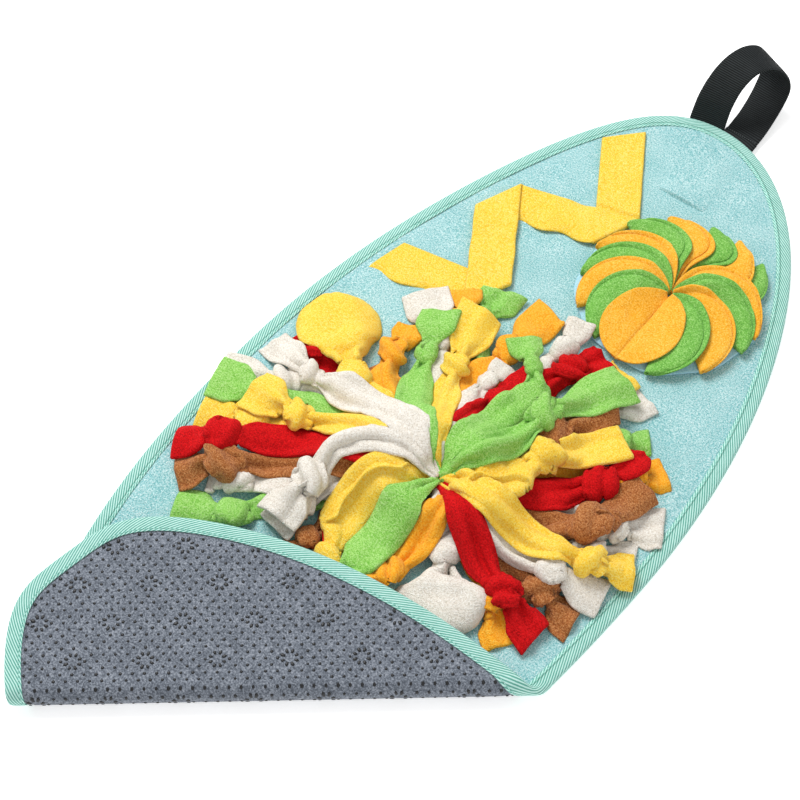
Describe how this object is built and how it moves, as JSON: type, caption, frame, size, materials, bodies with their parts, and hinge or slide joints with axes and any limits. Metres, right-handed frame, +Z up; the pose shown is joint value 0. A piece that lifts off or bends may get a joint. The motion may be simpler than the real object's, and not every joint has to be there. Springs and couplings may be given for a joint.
{
  "type": "snuffle mat",
  "caption": "Long oval fleece snuffle mat, one end folded over, with a knotted strip pompom, a disc flower, a zigzag strip and a hanging loop.",
  "frame": {"origin": "on the flat underside, under the middle of the unfolded oval", "axes": "+Z up; +Y along the oval towards the end with the hanging loop; +X to the flower's side"},
  "size_m": [0.3578, 0.7959, 0.0544],
  "materials": {
    "aqua_fleece": "matte",
    "backing_felt": "matte",
    "mint_tape": "matte",
    "black_webbing": "matte",
    "pale_felt": "matte",
    "flower_green": "matte",
    "flower_orange": "matte",
    "green_fleece": "matte",
    "orange_fleece": "matte",
    "yellow_fleece": "matte",
    "white_fleece": "matte",
    "red_fleece": "matte",
    "brown_fleece": "matte"
  },
  "bodies": {
    "root": {"mat_backing": "backing_felt", "mat_top": "aqua_fleece", "binding": "mint_tape", "hang_loop": "black_webbing", "zigzag_strip": "yellow_fleece", "flower_base": "pale_felt", "leaf_left_1": "flower_green", "leaf_left_2": "flower_orange", "leaf_left_3": "flower_green", "leaf_left_4": "flower_orange", "leaf_left_5": "flower_green", "leaf_left_6": "flower_orange", "leaf_left_7": "flower_green", "leaf_left_8": "flower_orange", "leaf_right_1": "flower_green", "leaf_right_2": "flower_orange", "leaf_right_3": "flower_green", "leaf_right_4": "flower_orange", "leaf_back": "flower_green", "disc_front": "flower_orange", "strips_green_1": "green_fleece", "strips_white_1": "white_fleece", "strips_orange_1": "orange_fleece", "strips_red_2": "red_fleece", "strips_white_2": "white_fleece", "strips_yellow_2": "yellow_fleece", "strips_green_2": "green_fleece", "strips_brown_3": "brown_fleece", "strips_red_3": "red_fleece", "strips_orange_3": "orange_fleece", "strips_yellow_4": "yellow_fleece", "strips_white_4": "white_fleece", "strips_red_5": "red_fleece", "strips_yellow_5": "yellow_fleece", "strips_green_5": "green_fleece", "strips_white_5": "white_fleece"}
  },
  "joints": []
}
